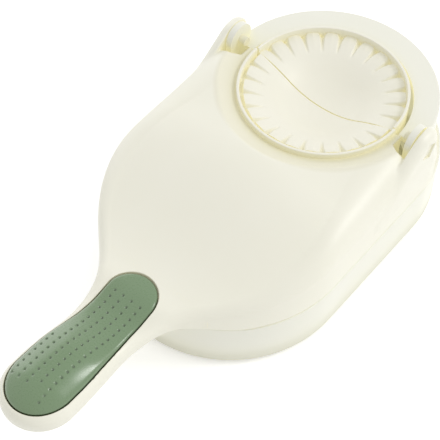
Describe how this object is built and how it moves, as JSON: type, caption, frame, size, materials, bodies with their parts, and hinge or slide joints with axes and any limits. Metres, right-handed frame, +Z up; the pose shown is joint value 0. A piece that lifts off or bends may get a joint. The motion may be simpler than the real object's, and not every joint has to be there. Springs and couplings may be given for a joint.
{
  "type": "empanada press",
  "caption": "Two-in-one hand press for filled dough pockets: a hinged lever cap over a round pressing bed, with a split ribbed crimping mould behind the hinge and a padded handle.",
  "frame": {"origin": "under the middle of the overall length and width, on the plane the feet stand on", "axes": "+Z up; +Y towards the rear, where the fixed mould half is, away from the handle; +X to the right for somebody looking from the handle end; the hinge axis is parallel to X"},
  "size_m": [0.1308, 0.2939, 0.0769],
  "materials": {
    "lever_cream": "warm cream moulded plastic, semi-gloss",
    "base_cream": "slightly cooler cream moulded plastic, semi-gloss",
    "mould_cream": "cream moulded plastic, smooth",
    "grip_green": "soft sage-green plastic with a dimple pattern",
    "screw_steel": "zinc-plated steel",
    "foot_rubber": "dull grey rubber",
    "pin_cream": "cream moulded plastic"
  },
  "bodies": {
    "base": {"base_shell": "base_cream", "bottom_cover": "base_cream", "bottom_cover_screws": "screw_steel", "foot_front_left": "foot_rubber", "foot_front_right": "foot_rubber", "foot_rear_left": "foot_rubber", "foot_rear_right": "foot_rubber", "press_bed": "lever_cream", "press_bed_screws": "screw_steel", "rear_mould_half": "mould_cream", "rear_mould_screws": "screw_steel"},
    "lever": {"lever_shell": "lever_cream", "lever_liner": "lever_cream", "lever_liner_screws": "screw_steel", "press_head": "mould_cream", "press_head_screws": "screw_steel", "handle_cover": "lever_cream", "handle_cover_screws": "screw_steel", "lever_mould_half": "mould_cream", "lever_mould_screws": "screw_steel", "grip_pad": "grip_green", "hinge_pin_left": "pin_cream", "hinge_pin_right": "pin_cream"}
  },
  "joints": [
    {"name": "lever_hinge", "type": "hinge", "parent": "base", "child": "lever", "pos_m": [0, 0.0817, 0.068], "axis": [-1, 0, 0], "range_deg": [0, 180]}
  ]
}
